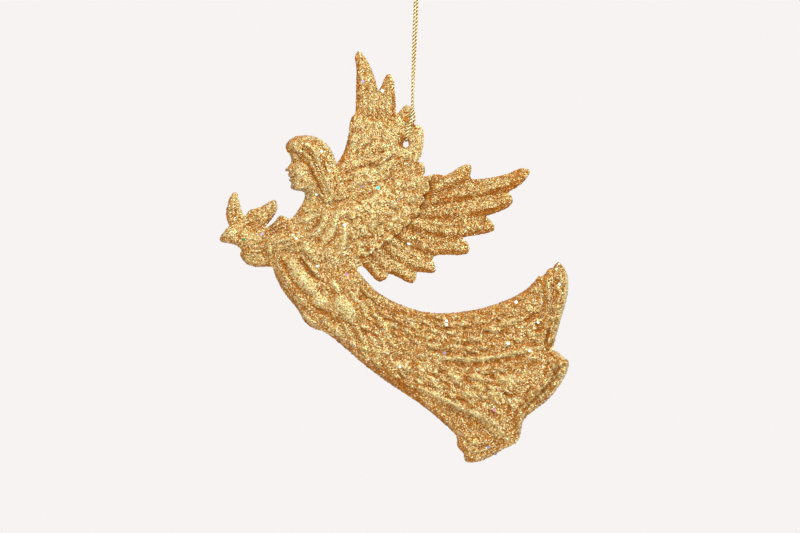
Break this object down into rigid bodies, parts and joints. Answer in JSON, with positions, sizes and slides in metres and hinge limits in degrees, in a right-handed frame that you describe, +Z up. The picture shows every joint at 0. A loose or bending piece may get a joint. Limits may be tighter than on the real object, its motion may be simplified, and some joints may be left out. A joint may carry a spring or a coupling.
{
  "type": "angel hanging ornament",
  "caption": "Flat two-sided resin angel ornament in gold glitter, flying with a dove in its hands, hung by a doubled gold cord through its upright wing.",
  "frame": {"origin": "seat of the hook in the cord's eye, straight above the casting", "axes": "+Z up along the hanging cord; +X from the dove towards the hem of the dress; +Y through the thickness, towards the back face"},
  "size_m": [0.1061, 0.0098, 0.1631],
  "materials": {
    "glitter_resin": "gold glitter coat",
    "gold_cord": "twisted metallic thread"
  },
  "bodies": {
    "hanger": {"hanger_cord": "gold_cord", "hanger_knot": "gold_cord"},
    "bight": {"cord_bight": "gold_cord"},
    "angel": {"far_wing_feather_1": "glitter_resin", "far_wing_feather_2": "glitter_resin", "far_wing_feather_3": "glitter_resin", "far_wing_feather_4": "glitter_resin", "far_wing_feather_5": "glitter_resin", "far_wing_coverts": "glitter_resin", "near_wing_upper_feather_1": "glitter_resin", "near_wing_upper_feather_2": "glitter_resin", "near_wing_primary_1": "glitter_resin", "near_wing_primary_2": "glitter_resin", "near_wing_primary_3": "glitter_resin", "near_wing_primary_4": "glitter_resin", "near_wing_primary_5": "glitter_resin", "near_wing_primary_6": "glitter_resin", "near_wing_primary_7": "glitter_resin", "near_wing_coverts": "glitter_resin", "near_wing_shoulder": "glitter_resin", "hair": "glitter_resin", "head": "glitter_resin", "bodice": "glitter_resin", "near_sleeve": "glitter_resin", "far_sleeve": "glitter_resin", "sleeve_drape": "glitter_resin", "hands": "glitter_resin", "dove_body": "glitter_resin", "dove_far_wing": "glitter_resin", "dove_near_wing": "glitter_resin", "dress_front": "glitter_resin", "skirt_top_panel": "glitter_resin", "skirt_mid_panel": "glitter_resin", "skirt_under_panel": "glitter_resin", "hem_top": "glitter_resin", "hem_mid": "glitter_resin", "hem_under": "glitter_resin"}
  },
  "joints": [
    {"name": "cord_twist", "type": "hinge", "parent": "hanger", "child": "bight", "pos_m": [0, 0, -0.045], "axis": [0, 0, 1], "range_deg": [-180, 180]},
    {"name": "swing", "type": "hinge", "parent": "bight", "child": "angel", "pos_m": [-0.0014, 0, -0.06065], "axis": [0, 1, 0], "range_deg": [-15, 15]}
  ]
}
